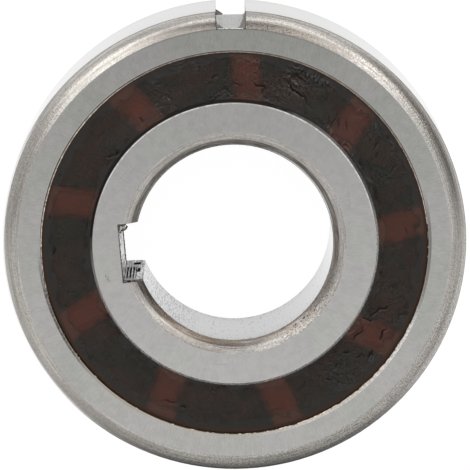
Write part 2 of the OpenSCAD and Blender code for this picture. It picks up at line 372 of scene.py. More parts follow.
def ring_steel(name, face_tints, face_in, face_out, corner_tint, side_tint, side_radius, details):
    """Ring steel: a ground face between two radii, turned corners, and a ground side at side_radius."""
    made, tree = new_material(name)
    radius = use(tree, radius_group)
    height = calc(tree, "ABSOLUTE", use(tree, radius_group, output="Height"))
    dark = (0, 0, 0, 1)

    fine = strokes(tree, 460.0, 0.6, 3.0)
    short = strokes(tree, 240.0, 2.2, 5.0)
    face = mix(tree, speckle(tree, 5.0, 0.36, 0.64, 0.3), face_tints[0], face_tints[1])
    face = mix(tree, ease(tree, fine, 0.3, 0.7, 0.07, 0.0), face, dark)
    face = mix(tree, ease(tree, short, 0.3, 0.7, 0.11, 0.0), face, dark)
    face = stain(tree, face, dark, speckle(tree, 0.9, 0.35, 0.7, 0.7), 0.06)

    rings = strokes(tree, 3.0, 7.0, 7.0)
    hair_rings = strokes(tree, 7.0, 19.0, 2.0)
    grit = speckle(tree, 0.13, 0.40, 0.62)
    pits = speckle(tree, 0.24, 0.52, 0.66, 0.5)
    corner = mix(tree, ease(tree, rings, 0.35, 0.65, 0.26, 0.0), corner_tint, dark)
    corner = mix(tree, ease(tree, hair_rings, 0.35, 0.65, 0.20, 0.0), corner, dark)
    corner = stain(tree, corner, dark, grit, 0.16)
    corner = stain(tree, corner, (0.10, 0.08, 0.065, 1), pits, 0.22)

    on_face = times(tree, band(tree, radius, face_in, face_out, 0.02), ease(tree, height, 6.8, 6.95))
    off_side = calc(tree, "ABSOLUTE", calc(tree, "SUBTRACT", radius, side_radius))
    on_side = ease(tree, off_side, 0.01, 0.04, 1.0, 0.0)
    # Painted shade: the ground side is painted darker towards both faces.
    side = mix(tree, ease(tree, height, 2.0, 6.2, 0.02, 0.16), side_tint, dark)
    side = stain(tree, side, dark, strokes(tree, 60.0, 1.0, 8.0), 0.05)
    base = mix(tree, on_face, corner, face)
    base = mix(tree, on_side, base, side)
    on_corner = times(tree, inverse(tree, on_face), inverse(tree, on_side))
    rough = added(tree, 0.16, on_corner, 0.08)
    rough = added(tree, rough, on_side, -0.06)
    lumps = times(tree, calc(tree, "ADD", grit, rings), on_corner)
    lumps = added(tree, lumps, times(tree, short, on_face), 0.10)
    base, rough, lumps, pitted = details(tree, radius, height, base, rough, lumps)
    bump = put(tree, "ShaderNodeBump", {"Height": lumps, "Strength": 0.35, "Distance": 0.012 * MM})
    sound = inverse(tree, pitted)
    base = mix(tree, pitted, base, (0.016, 0.014, 0.013, 1))
    finish(tree, base, rough, sound, Normal=bump.outputs[0], Specular_IOR_Level=times(tree, sound, 0.5))
    return made


outside_radius = 23.5
outer_face = 19.66, 21.88
face_height = 7.0
rim_key_half = 1.5
rim_key_floor = 21.8


def outer_details(tree, radius, height, base, rough, lumps):
    """The outer ring's sandy and brown stretches, its edges and its keyway."""
    dark, brown = (0, 0, 0, 1), (0.13, 0.075, 0.04, 1)
    corner = times(tree, band(tree, radius, 21.86, 23.44, 0.03), ease(tree, height, 5.0, 5.6))
    coarse = speckle(tree, 0.17, 0.46, 0.60, 0.9)
    sandy = most(tree, toward(tree, 47, 22, 9), toward(tree, 160, 16, 9))
    base = stain(tree, base, (0.20, 0.165, 0.15, 1), corner, sandy, coarse, 0.30)
    lumps = added(tree, lumps, times(tree, corner, sandy, coarse), 1.6)
    low = times(tree, toward(tree, -60, 50, 20), corner, speckle(tree, 0.14, 0.48, 0.62, 0.2))
    base = stain(tree, base, dark, low, 0.45)
    # Painted light: the edge of the corner next to the face is painted lighter along the lower right half.
    lit_edge = times(tree, toward(tree, -45, 100, 15), band(tree, radius, 21.84, 22.22, 0.05),
                 ease(tree, height, 6.4, 6.5))
    base = stain(tree, base, (0.62, 0.615, 0.605, 1), lit_edge, 0.15)
    shade = times(tree, corner, band(tree, radius, 22.1, 22.9, 0.12), toward(tree, -95, 42, 14))
    base = stain(tree, base, dark, shade, 0.18)
    grey = times(tree, toward(tree, 160, 12, 8), corner)
    base = stain(tree, base, (0.16, 0.14, 0.13, 1), grey, 0.22)
    dull = times(tree, toward(tree, 87, 27, 9), band(tree, radius, 21.80, 22.62, 0.14),
                 ease(tree, height, 6.2, 6.4))
    base = stain(tree, base, (0.24, 0.22, 0.20, 1), dull, 0.70)
    rust = times(tree, toward(tree, 82, 12, 8), band(tree, radius, 21.80, 22.5, 0.12),
                 speckle(tree, 0.20, 0.52, 0.62, 0.4))
    base = stain(tree, base, brown, rust, 0.6)
    # Painted shade: a dark line round the edge of the outer side, left out on the left.
    rim_line = times(tree, band(tree, radius, 23.40, 23.60, 0.02), ease(tree, height, 5.55, 5.68),
                     ease(tree, height, 5.80, 5.9, 1.0, 0.55))
    base = stain(tree, base, (0.05, 0.035, 0.03, 1), rim_line, inverse(tree, toward(tree, 190, 40, 15)), 0.3)
    # Painted shade: the edge of the outer side is painted dark along the bottom.
    bottom_shade = times(tree, band(tree, radius, 23.26, 23.60, 0.05), ease(tree, height, 5.6, 5.75),
                 toward(tree, -88, 16, 10))
    base = stain(tree, base, (0.06, 0.045, 0.04, 1), bottom_shade, 0.6)
    # Painted highlight: the edge of the outer side is painted white on the left.
    bright = times(tree, band(tree, radius, 23.30, 23.60, 0.03), toward(tree, 190, 36, 12))
    base = stain(tree, base, (1, 1, 1, 1), bright, 0.85)
    on_top = ease(tree, height, 6.9, 6.96)
    margin = times(tree, band(tree, radius, 19.66, 19.93, 0.04), on_top)
    flecks = speckle(tree, 0.24, 0.40, 0.60, 0.35)
    base = stain(tree, base, (0.95, 0.90, 0.86, 1), margin, toward(tree, -47, 30, 12),
                 added(tree, 0.4, flecks, 0.6))
    groove = times(tree, band(tree, radius, 19.74, 19.87, 0.03), on_top, toward(tree, 218, 22, 8))
    base = stain(tree, base, (0.12, 0.095, 0.08, 1), groove, 0.5)
    warm = times(tree, margin, toward(tree, 262, 50, 14))
    base = stain(tree, base, (0.56, 0.50, 0.43, 1), warm, 0.5)
    base = stain(tree, base, (0.20, 0.18, 0.165, 1), margin, toward(tree, -6, 14, 8), 0.75)
    base = stain(tree, base, (0.10, 0.085, 0.075, 1), margin, toward(tree, 202, 14, 8),
                 added(tree, 0.5, flecks, 0.4))
    # Painted shade and light: the inner wall of the lip is painted dark, and lighter along its top stretch.
    lip = times(tree, ease(tree, radius, 19.62, 19.66, 1.0, 0.0), ease(tree, height, 6.5, 6.6))
    north = toward(tree, 68, 48, 12)
    base = mix(tree, lip, base, (0.045, 0.032, 0.026, 1))
    base = stain(tree, base, (0.30, 0.28, 0.26, 1), lip, north)
    outer_round = times(tree, corner, band(tree, radius, 22.75, 23.32, 0.1))
    base = stain(tree, base, (0.20, 0.17, 0.15, 1), outer_round, toward(tree, 28, 22, 10), 0.45)
    base = stain(tree, base, (0.20, 0.17, 0.15, 1), outer_round, toward(tree, 202, 26, 10), 0.22)

    along, across = side_on(tree, 90)
    off_middle = calc(tree, "ABSOLUTE", across)
    in_key = times(tree, ease(tree, off_middle, rim_key_half + 0.005, rim_key_half + 0.02, 1.0, 0.0),
                   ease(tree, along, rim_key_floor - 0.03, rim_key_floor - 0.01))
    milled = grain_at(tree, vector(tree, "MULTIPLY", own_place(tree), (5 / MM, 5 / MM, 0.5 / MM)))
    key = mix(tree, ease(tree, milled, 0.35, 0.65), (0.37, 0.38, 0.37, 1), (0.47, 0.475, 0.465, 1))
    level = use(tree, radius_group, output="Height")
    from_right = calc(tree, "ADD", across, rim_key_half)
    from_left = calc(tree, "SUBTRACT", rim_key_half, across)
    ragged = speckle(tree, 0.35, 0.3, 0.7, 0.2)
    right_width = ease(tree, level, -face_height, face_height, 0.05, 0.48)
    left_width = ease(tree, level, 0.0, face_height, -0.05, 0.32)
    right_rim = added(tree, calc(tree, "SUBTRACT", from_right, right_width), ragged, -0.16)
    left_rim = added(tree, calc(tree, "SUBTRACT", from_left, left_width), ragged, -0.10)
    front_rim = calc(tree, "SUBTRACT", ease(tree, off_middle, 0.4, rim_key_half, face_height, 1.6), level)
    nearest_rim = calc(tree, "MINIMUM", calc(tree, "MINIMUM", right_rim, left_rim), front_rim)
    torn = ease(tree, nearest_rim, -0.02, 0.08, 1.0, 0.0)
    key = mix(tree, torn, key, (0.30, 0.25, 0.21, 1))
    on_wall = ease(tree, off_middle, rim_key_half - 0.015, rim_key_half - 0.003)
    pits = times(tree, in_key, torn, ease(tree, ragged, 0.2, 0.7, 0.92, 0.55),
                 ease(tree, on_wall, 0.0, 1.0, 1.0, 0.25))
    torn_edge = times(tree, ease(tree, off_middle, rim_key_half, rim_key_half + 0.12, 1.0, 0.0),
                      ease(tree, along, 21.9, 22.1), band(tree, height, 5.7, 6.95, 0.05))
    pits = most(tree, pits, times(tree, torn_edge, ease(tree, ragged, 0.2, 0.6, 0.3, 0.9)))
    base = mix(tree, in_key, base, key)
    rough = added(tree, rough, in_key, 0.2)
    return base, rough, lumps, pits


outer_steel = ring_steel("outer_ring_steel", [(0.545, 0.56, 0.535, 1), (0.585, 0.575, 0.57, 1)], *outer_face,
                         (0.665, 0.64, 0.605, 1), (0.35, 0.35, 0.348, 1), outside_radius, outer_details)
finish_with("outer_ring", outer_steel)


# The inner ring. The same steel, ground finer on its faces and in the bore. The keyway in the bore is
# broached, and its walls keep the broach's torn streaks along the axis. Varnish has run down behind it.
bore_radius = 10.0
inner_face = 11.34, 14.35
bore_key_angle = 184.2
bore_key_half = 3.0
bore_key_floor = 11.6
inner_scratches = [
    # angle, radius, length, width, heading from the radius; the first three make one small dent
    (193.3, 13.42, 0.40, 0.20, 85), (194.4, 13.30, 0.62, 0.17, 55), (195.4, 13.24, 0.44, 0.20, 95),
    (147, 13.2, 1.6, 0.05, 80), (143, 12.7, 1.3, 0.05, 84), (20, 12.4, 2.2, 0.04, 75),
    (262, 12.5, 1.8, 0.04, 95), (302, 12.9, 2.4, 0.04, 88), (70, 13.5, 1.2, 0.04, 60),
]


def inner_details(tree, radius, height, base, rough, lumps):
    """The inner ring's shoulder, its bore corner, its broached keyway and a few scratches."""
    dark, brown = (0, 0, 0, 1), (0.108, 0.077, 0.056, 1)
    shoulder = times(tree, ease(tree, radius, 14.33, 14.37), ease(tree, height, 6.70, 6.76))
    below = times(tree, ease(tree, radius, 14.3, 14.4), ease(tree, height, 6.70, 6.76, 1.0, 0.0))
    edge = speckle(tree, 0.5, 0.35, 0.65, 0.6)
    # Painted shade: the shoulder is painted near black, most of all on the upper left, with a trace of it
    # all round.
    shoulder_shade = calc(tree, "ADD", toward(tree, 122, 62, 18), times(tree, edge, 0.16))
    shoulder_shade = calc(tree, "MINIMUM", 1.0, calc(tree, "ADD", times(tree, shoulder_shade, 0.95), 0.04))
    base = stain(tree, base, (0.030, 0.024, 0.021, 1), shoulder, shoulder_shade)
    # Painted highlight: the shoulder is painted white along its lower half.
    shoulder_highlight = times(tree, shoulder, toward(tree, -75, 88, 22))
    base = stain(tree, base, (0.95, 0.95, 0.94, 1), shoulder_highlight)
    # Painted shade: the outer wall of the inner ring below its shoulder, between it and the shields, is
    # painted near black.
    base = mix(tree, below, base, (0.010, 0.007, 0.006, 1))
    rough = added(tree, rough, most(tree, below, times(tree, shoulder, shoulder_shade)), 0.25)
    # Painted highlight: the edge of the face is painted white in speckled stretches on the upper left and
    # upper right.
    lit_edge = times(tree, band(tree, radius, 14.22, 14.345, 0.015),
                 most(tree, toward(tree, 122, 34, 12), toward(tree, 46, 30, 12)))
    base = stain(tree, base, (1, 1, 1, 1), lit_edge,
                 ease(tree, speckle(tree, 0.4, 0.35, 0.6, 0.9), 0.0, 1.0, 0.3, 0.95))

    corner = times(tree, band(tree, radius, 10.02, 11.32, 0.03), ease(tree, height, 6.2, 6.3))
    coarse = speckle(tree, 0.16, 0.47, 0.60, 0.3)
    torn = times(tree, corner, toward(tree, -42, 28, 12), strokes(tree, 40.0, 9.0, 4.0))
    base = mix(tree, ease(tree, torn, 0.46, 0.6, 0.0, 0.5), base, (0.12, 0.08, 0.06, 1))
    base = stain(tree, base, (0.15, 0.12, 0.10, 1), corner, toward(tree, -70, 70, 20), coarse, 0.14)
    lumps = added(tree, lumps, times(tree, corner, toward(tree, -55, 60, 20), coarse), 0.8)
    inner_band = times(tree, corner, band(tree, radius, 10.12, 10.62, 0.06))
    streak = ease(tree, strokes(tree, 5.0, 13.0, 9.0), 0.35, 0.65, 0.45, 1.0)
    stained = added(tree, 0.95, toward(tree, -48, 30, 14), -0.42)
    varnish = mix(tree, toward(tree, 92, 80, 20), brown, (0.085, 0.073, 0.062, 1))
    base = stain(tree, base, varnish, inner_band, streak, stained)
    near_wall = times(tree, corner, ease(tree, radius, 10.12, 10.2, 1.0, 0.0))
    base = stain(tree, base, brown, near_wall, toward(tree, -110, 75, 25), 0.66)
    # Painted highlight: the edge of the corner next to the bore is painted white on the upper right.
    base = stain(tree, base, (1, 1, 1, 1), near_wall, toward(tree, 40, 22, 14), 0.9)
    base = stain(tree, base, brown, corner, toward(tree, -115, 16, 10), 0.35)
    on_bore = band(tree, radius, bore_radius - 0.1, bore_radius + 0.03, 0.01)
    far_wall = toward(tree, -90, 80, 20)
    pits = times(tree, on_bore, toward(tree, 214, 24, 16), drawn_grain(tree, 6.0, 1.0, 0.46, 0.62, 4.0), 0.8)
    pits = most(tree, pits,
                times(tree, on_bore, far_wall, drawn_grain(tree, 5.0, 0.9, 0.60, 0.68, 9.0), 0.4))
    pits = most(tree, pits, times(tree, on_bore, far_wall, ease(tree, height, 4.6, 6.2),
                             drawn_grain(tree, 3.0, 0.7, 0.52, 0.6, 2.0), 0.5))
    corner_pits = times(tree, corner, toward(tree, -42, 22, 12), band(tree, radius, 10.25, 10.9, 0.15))
    corner_pits = times(tree, corner_pits, ease(tree, strokes(tree, 42.0, 6.0, 4.0), 0.56, 0.64), 0.85)
    pits = most(tree, pits, corner_pits)

    along, across = side_on(tree, bore_key_angle)
    off_middle = calc(tree, "ABSOLUTE", across)
    in_key = times(tree, ease(tree, off_middle, bore_key_half + 0.005, bore_key_half + 0.02, 1.0, 0.0),
                   ease(tree, along, 5.0, 6.0),
                   ease(tree, along, bore_key_floor + 0.005, bore_key_floor + 0.02, 1.0, 0.0))
    on_floor = times(tree, in_key, ease(tree, along, bore_key_floor - 0.10, bore_key_floor - 0.03))
    level = use(tree, radius_group, output="Height")
    streaked = put(tree, "ShaderNodeCombineXYZ", {"X": times(tree, along, 6.5),
                   "Y": times(tree, across, 4.2), "Z": times(tree, level, 0.30)}).outputs[0]
    tear = grain_at(tree, streaked, detail=3.0, roughness=0.65)
    wall = mix(tree, ease(tree, tear, 0.38, 0.58), (0.60, 0.60, 0.60, 1), (0.12, 0.12, 0.12, 1))
    bore_end = times(tree, ease(tree, along, 10.2, 10.5, 1.0, 0.0), ease(tree, level, -2.0, 0.5))
    wall = stain(tree, wall, (0.75, 0.75, 0.75, 1), bore_end, 0.7)
    wander = added(tree, along, tear, 0.30)
    comb = put(tree, "ShaderNodeMath", {0: times(tree, wander, 20.0)}, operation="SINE").outputs[0]
    combed = times(tree, ease(tree, comb, -0.45, 0.05), band(tree, level, -3.2, 4.6, 0.8),
                   band(tree, along, 10.28, 11.45, 0.05))
    dash = times(tree, band(tree, level, -5.4, -3.7, 0.3), band(tree, along, 9.9, 10.75, 0.1))
    blot = times(tree, band(tree, level, -1.8, 1.0, 0.4), band(tree, along, 9.9, 10.35, 0.08),
                 ease(tree, tear, 0.38, 0.46))
    rim = most(tree, ease(tree, level, 4.9, 5.7), ease(tree, along, 11.38, 11.46))
    rim = times(tree, rim, ease(tree, speckle(tree, 0.34, 0.3, 0.6, 0.1), 0.1, 0.6, 0.45, 1.0))
    marks = most(tree, combed, dash, blot, rim)
    marks = most(tree, marks, times(tree, drawn_grain(tree, 5.0, 0.8, 0.44, 0.54, 1.0), 0.62))
    links = drawn_grain(tree, 4.2, 0.42, 0.0, 1.0, 6.0)
    floor_ends = most(tree, ease(tree, level, 4.8, 6.2), ease(tree, level, -6.6, -5.2, 1.0, 0.0))
    high_end = ease(tree, across, -2.6, 0.3, 0.75, 0.0)
    floor_marks = most(tree, times(tree, floor_ends, 0.88),
                       ease(tree, added(tree, links, high_end, 0.3), 0.44, 0.68, 0.0, 0.88))
    key = mix(tree, on_floor, wall, (0.76, 0.76, 0.76, 1))
    marks = put(tree, "ShaderNodeMix", {"Factor": on_floor, "A": marks, "B": floor_marks},
                data_type="FLOAT").outputs[0]
    base = mix(tree, in_key, base, key)
    pits = most(tree, pits, times(tree, in_key, marks))
    rough = added(tree, rough, in_key, 0.08)
    lumps = added(tree, lumps, times(tree, in_key, tear), 2.0)

    for mark in inner_scratches:
        base = stain(tree, base, dark, scratch(tree, *mark), 0.28)
    return base, rough, lumps, pits


inner_steel = ring_steel("inner_ring_steel", [(0.62, 0.625, 0.615, 1), (0.635, 0.62, 0.63, 1)], *inner_face,
                         (0.61, 0.59, 0.565, 1), (0.345, 0.345, 0.35, 1), bore_radius, inner_details)
finish_with("inner_ring", inner_steel)


# The balls and sprags. Polished bearing steel balls, and drawn sprags whose cams are ground dull along
# the axis.
ball_steel, tree = new_material("ball_steel")
smear = speckle(tree, 1.2, 0.35, 0.7)
ball_tint = mix(tree, smear, (0.66, 0.66, 0.67, 1), (0.58, 0.58, 0.58, 1))
finish(tree, ball_tint, added(tree, 0.05, smear, 0.06), 1.0)
sprag_steel, tree = new_material("sprag_steel")
drawn = grain_at(tree, vector(tree, "MULTIPLY", own_place(tree), (9 / MM, 9 / MM, 0.6 / MM)))
sprag_tint = mix(tree, ease(tree, drawn, 0.3, 0.7), (0.50, 0.49, 0.48, 1), (0.36, 0.35, 0.34, 1))
finish(tree, sprag_tint, added(tree, 0.22, drawn, 0.2), 1.0)
for i in range(1, 10):
    finish_with(f"ball_{i}", ball_steel)
    finish_with(f"sprag_{i}", sprag_steel)


# The cage. Two halves moulded in brown resin and pegged together, with a pocket for each ball, a slot
# for each sprag and a raised rib over it.
cage_resin, tree = new_material("cage_resin")
resin_tint = mix(tree, speckle(tree, 2.0, 0.3, 0.7), (0.47, 0.083, 0.040, 1), (0.37, 0.066, 0.033, 1))
resin_tint = stain(tree, resin_tint, (0.16, 0.03, 0.02, 1), speckle(tree, 0.3, 0.45, 0.7, 0.6), 0.3)
finish(tree, resin_tint, 0.55)
finish_with("cage_front", cage_resin)
finish_with("cage_rear", cage_resin)


# The garter springs. Close coils of spring wire, joined into rings, that lie in the grooves of the cage
# and press on the notches of the sprags.
def sweep_tree():
    """Geometry nodes that run a round section along a path, make it lumpy and cut it off level."""
    tree = bpy.data.node_groups.new("sweep", "GeometryNodeTree")
    tree.interface.new_socket("Path", in_out="INPUT", socket_type="NodeSocketGeometry")
    for name in ("Section Radius", "Lump", "Lump Size", "Seed", "Top"):
        tree.interface.new_socket(name, in_out="INPUT", socket_type="NodeSocketFloat")
    tree.interface.new_socket("Sides", in_out="INPUT", socket_type="NodeSocketInt")
    tree.interface.new_socket("Finish", in_out="INPUT", socket_type="NodeSocketMaterial")
    tree.interface.new_socket("Mesh", in_out="OUTPUT", socket_type="NodeSocketGeometry")
    given = tree.nodes.new("NodeGroupInput").outputs
    path = put(tree, "GeometryNodeMeshToCurve", {"Mesh": given["Path"]}).outputs[0]
    width = put(tree, "GeometryNodeInputNamedAttribute", {"Name": "width"}, data_type="FLOAT").outputs[0]
    section = put(tree, "GeometryNodeCurvePrimitiveCircle", {"Resolution": given["Sides"],
                  "Radius": given["Section Radius"]}).outputs[0]
    swept = put(tree, "GeometryNodeCurveToMesh", {"Curve": path, "Profile Curve": section, "Scale": width,
                "Fill Caps": True}).outputs[0]
    place = put(tree, "GeometryNodeInputPosition").outputs[0]
    shifted = vector(tree, "ADD", place, put(tree, "ShaderNodeCombineXYZ", {"X": given["Seed"]}).outputs[0])
    scale = calc(tree, "DIVIDE", 1.0, given["Lump Size"])
    push = times(tree, calc(tree, "SUBTRACT", grain_at(tree, shifted, scale), 0.5), given["Lump"])
    normal = put(tree, "GeometryNodeInputNormal").outputs[0]
    offset = put(tree, "ShaderNodeVectorMath", {0: normal, "Scale": push}, operation="SCALE").outputs[0]
    lumpy = put(tree, "GeometryNodeSetPosition", {"Geometry": swept, "Offset": offset}).outputs[0]
    moved = put(tree, "ShaderNodeSeparateXYZ",
                {"Vector": put(tree, "GeometryNodeInputPosition").outputs[0]}).outputs
    level = put(tree, "ShaderNodeCombineXYZ", {"X": moved["X"], "Y": moved["Y"],
                "Z": calc(tree, "MINIMUM", moved["Z"], given["Top"])}).outputs[0]
    cut = put(tree, "GeometryNodeSetPosition", {"Geometry": lumpy, "Position": level}).outputs[0]
    smooth = put(tree, "GeometryNodeSetShadeSmooth", {0: cut}).outputs[0]
    whole = put(tree, "GeometryNodeRealizeInstances", {"Geometry": smooth}).outputs[0]
    dressed = put(tree, "GeometryNodeSetMaterial",
                  {"Geometry": whole, "Material": given["Finish"]}).outputs[0]
    tree.links.new(dressed, tree.nodes.new("NodeGroupOutput").inputs["Mesh"])
    return tree


sweep_nodes = sweep_tree()


def turn_outwards(mesh):
    """Turn every face of a closed mesh outwards."""
    shell = bmesh.new()
    shell.from_mesh(mesh)
    bmesh.ops.recalc_face_normals(shell, faces=shell.faces)
    shell.to_mesh(mesh)
    shell.free()


def fitted(name, mesh, body):
    """A finished mesh as a piece that rides on a body."""
    piece = bpy.data.objects.new(name, mesh)
    bpy.context.scene.collection.objects.link(piece)
    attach(piece, body)
    return piece


def swept(name, points, widths, closed, finish, body, slot, radius, sides=6, lump=0.0, lump_size=0.2,
          seed=0.0, top=face_height):
    """A piece made by running a section along points, all in millimetres, widened by widths."""
    mesh = bpy.data.meshes.new(name + "_path")
    last = len(points) if closed else len(points) - 1
    edges = [(i, (i + 1) % len(points)) for i in range(last)]
    mesh.from_pydata([tuple(c * MM for c in point) for point in points], edges, [])
    mesh.attributes.new("width", "FLOAT", "POINT").data.foreach_set("value", widths)
    maker = bpy.data.objects.new(name + "_path", mesh)
    bpy.context.scene.collection.objects.link(maker)
    modifier = maker.modifiers.new("sweep", "NODES")
    modifier.node_group = sweep_nodes
    sizes = {"Section Radius": radius * MM, "Lump": lump * MM, "Lump Size": lump_size * MM, "Seed": seed,
             "Top": top * MM, "Sides": sides, "Finish": finish}
    for item in sweep_nodes.interface.items_tree:
        if item.in_out == "INPUT" and item.name in sizes:
            modifier[item.identifier] = sizes[item.name]
    seen = maker.evaluated_get(bpy.context.evaluated_depsgraph_get())
    baked = bpy.data.meshes.new_from_object(seen)
    maker.modifiers.remove(modifier)
    bpy.data.objects.remove(maker)
    baked.name = name
    turn_outwards(baked)
    return fitted(name, baked, body)


spring_steel, tree = new_material("spring_steel")
wire_tint = mix(tree, speckle(tree, 0.6, 0.35, 0.65), (0.52, 0.51, 0.50, 1), (0.38, 0.37, 0.36, 1))
finish(tree, wire_tint, 0.28, 1.0)
garter_r, garter_z, coil_r, wire_r = 18.5, 4.6, 0.35, 0.095
turns, points_per_turn = 200, 10
coil_points = turns * points_per_turn
for node, side in (("garter_spring_front", 1), ("garter_spring_rear", -1)):
    coil = []
    for i in range(coil_points):
        around, twist = 2 * math.pi * i / coil_points, 2 * math.pi * i / points_per_turn
        r = garter_r + coil_r * math.cos(twist)
        coil.append((r * math.cos(around), r * math.sin(around), side * garter_z + coil_r * math.sin(twist)))
    piece = swept(node.replace("garter", "coiled"), coil, [1.0] * coil_points, True, spring_steel, "cage",
                  "spring_steel", wire_r, sides=5)
    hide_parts(node)


# The grease. Dark grease packed over the ends of the cage between its ribs, smeared nearly up to the
# shields, with thin edges wiped over the sides of the ribs. Its near black tint is partly painted shade,
# for the shade inside the bearing under the shields.
first_sprag_angle = math.radians(4.9)
sprag_lean = math.radians(9)
count = 9
rib_half_width = 1.45
rib_top = 6.05
pitch_radius = 17.0
grease_inner, grease_outer = 14.92, 19.08
grease_low, grease_high = 5.55, 5.98
wiped = 0.7  # how far it is smeared over the sides of a rib
grease_edge = 0.5  # how far from a rib it is full


def across_rib(r, angle):
    """How far a point lies from the middle of the nearest rib, along its circle."""
    pitch = 2 * math.pi / count
    lean = (r - pitch_radius) * math.tan(sprag_lean) / r
    off = (angle - first_sprag_angle - lean + pitch / 2) % pitch - pitch / 2
    return off * r * math.cos(sprag_lean)


def grease_patch(side):
    """One body of grease: a patch between each two ribs, and how thick it is at each point."""
    verts, faces, thick = [], [], []
    reach = [-wiped, -0.55, -0.4, -0.25, -0.1, -0.03, 0.03, 0.15, 0.3, 0.5]
    inside = [k / 16 for k in range(1, 16)]
    rows = 9
    for k in range(count):
        start = first_sprag_angle + k * 2 * math.pi / count
        first = len(verts)
        lines = [("low", s) for s in reach]
        lines += [("share", s) for s in inside]
        lines += [("high", s) for s in reversed(reach)]
        steps = len(lines) - 1
        for kind, s in lines:
            for j in range(rows + 1):
                r = grease_inner + (grease_outer - grease_inner) * j / rows
                lean = (r - pitch_radius) * math.tan(sprag_lean)
                half = rib_half_width / math.cos(sprag_lean)
                low = start + (half + lean + grease_edge) / r
                high = start + 2 * math.pi / count + (lean - half - grease_edge) / r
                if kind == "low":
                    angle = low + (s - grease_edge) / r
                elif kind == "high":
                    angle = high - (s - grease_edge) / r
                else:
                    angle = low + (high - low) * s
                x, y = r * math.cos(angle), r * math.sin(angle)
                over = kind != "share" and s < 0
                lump = 0.05 * noise.noise(Vector((x * 0.9, y * 0.9, 3 * side)))
                lump += 0.02 * noise.noise(Vector((x * 3, y * 3, side)))
                top = rib_top + 0.04 + 0.01 * lump if over else grease_high - 0.03 + lump
                verts.append((x, y, side * top))
                thick.append(1.0 if kind == "share" else (s + wiped) / (grease_edge + wiped))
        top_count = len(verts) - first
        for i, (kind, s) in enumerate(lines):
            over = kind != "share" and s < 0
            for j in range(rows + 1):
                x, y = verts[first + i * (rows + 1) + j][:2]
                verts.append((x, y, side * (rib_top + 0.006 if over else grease_low)))
                thick.append(thick[first + i * (rows + 1) + j])

        def at(i, j, under=0):
            return first + under * top_count + i * (rows + 1) + j
        for i in range(steps):
            for j in range(rows):
                faces.append((at(i, j), at(i, j + 1), at(i + 1, j + 1), at(i + 1, j)))
                faces.append((at(i, j, 1), at(i + 1, j, 1), at(i + 1, j + 1, 1), at(i, j + 1, 1)))
            faces.append((at(i, 0), at(i + 1, 0), at(i + 1, 0, 1), at(i, 0, 1)))
            faces.append((at(i, rows), at(i, rows, 1), at(i + 1, rows, 1), at(i + 1, rows)))
        for j in range(rows):
            faces.append((at(0, j), at(0, j, 1), at(0, j + 1, 1), at(0, j + 1)))
            faces.append((at(steps, j), at(steps, j + 1), at(steps, j + 1, 1), at(steps, j, 1)))
    return verts, faces, thick


def solid(name, verts, faces, material, body, values):
    """A closed mesh in millimetres as a piece that rides on a body, with values kept for its finish."""
    mesh = bpy.data.meshes.new(name)
    mesh.from_pydata([tuple(c * MM for c in v) for v in verts], [], faces)
    turn_outwards(mesh)
    for face in mesh.polygons:
        face.use_smooth = True
    for key, numbers in values.items():
        mesh.attributes.new(key, "FLOAT", "POINT").data.foreach_set("value", numbers)
    mesh.materials.append(material)
    return fitted(name, mesh, body)


def kept_value(tree, name):
    """A value that was kept on the points of a mesh."""
    return put(tree, "ShaderNodeAttribute", attribute_name=name).outputs["Fac"]


grease, tree = new_material("grease")
# Painted shade in part: the grease is near black, for the shade inside the bearing under the shields.
grease_tint = mix(tree, speckle(tree, 1.6, 0.35, 0.65), (0.034, 0.024, 0.018, 1), (0.016, 0.018, 0.014, 1))
thick = kept_value(tree, "thick")
streaky = added(tree, calc(tree, "SUBTRACT", thick, 0.15), speckle(tree, 0.8, 0.3, 0.7, 0.2), 0.3)
finish(tree, grease_tint, 0.35, Alpha=ease(tree, streaky, 0.25, 1.2))
for name, side in (("grease_front", 1), ("grease_rear", -1)):
    verts, faces, thickness = grease_patch(side)
    solid(name, verts, faces, grease, "cage", {"thick": thickness})


# The shields. A brown varnished film, stuck on the ledge of the outer ring and worked in under its
# lip, that has taken wrinkles and creases where it was pressed down.
film_inner, film_outer = 14.46, 19.98
film_top, film_bottom, film_crest = 6.46, 6.26, 6.58
film_bays = [
    # where the film is wrinkled most: angle, half width in degrees, strength
    (58, 52, 0.85), (-34, 40, 0.5), (104, 30, 0.45), (232, 60, 0.2),
]


def near_angle(angle, middle):
    """How far apart two angles are, in degrees."""
    return abs((angle - middle + 180) % 360 - 180)


def crease(x, y, marks):
    """How deep the creases are at a point: each mark is angle, radius, length, heading and depth."""
    deep = 0.0
    for angle, radius, length, heading, depth in marks:
        a = math.radians(angle)
        dx, dy = x - radius * math.cos(a), y - radius * math.sin(a)
        h = a + math.radians(heading)
        along = dx * math.cos(h) + dy * math.sin(h)
        across = -dx * math.sin(h) + dy * math.cos(h)
        across += 0.14 * math.sin(along * 2.3 + angle) + 0.06 * math.sin(along * 6.1 + 2 * angle)
        if abs(along) < length / 2 and abs(across) < 0.6:
            fade = 1 - (2 * along / length) ** 2
            deep = max(deep, depth * fade * math.exp(-(across / 0.11) ** 2))
    return deep


def wrinkles(x, y, seed):
    """The height of the fine wrinkles: sharp crests that lie mostly one way and wander."""
    bend = noise.noise(Vector((x * 0.22, y * 0.22, seed + 3))) * 2.2 + 0.5
    u = x * math.cos(bend) + y * math.sin(bend)
    v = -x * math.sin(bend) + y * math.cos(bend)
    u += 0.35 * noise.noise(Vector((x * 0.9, y * 0.9, seed + 7)))
    v += 0.35 * noise.noise(Vector((x * 0.9, y * 0.9, seed + 17)))
    long = 1 - abs(noise.noise(Vector((u * 0.62, v * 1.6, seed + 13)))) * 2.2
    short = 1 - abs(noise.noise(Vector((u * 1.3, v * 3.1, seed + 23)))) * 2.0
    return 0.6 * max(0, long) ** 2 + 0.4 * max(0, short) ** 2 - 0.35


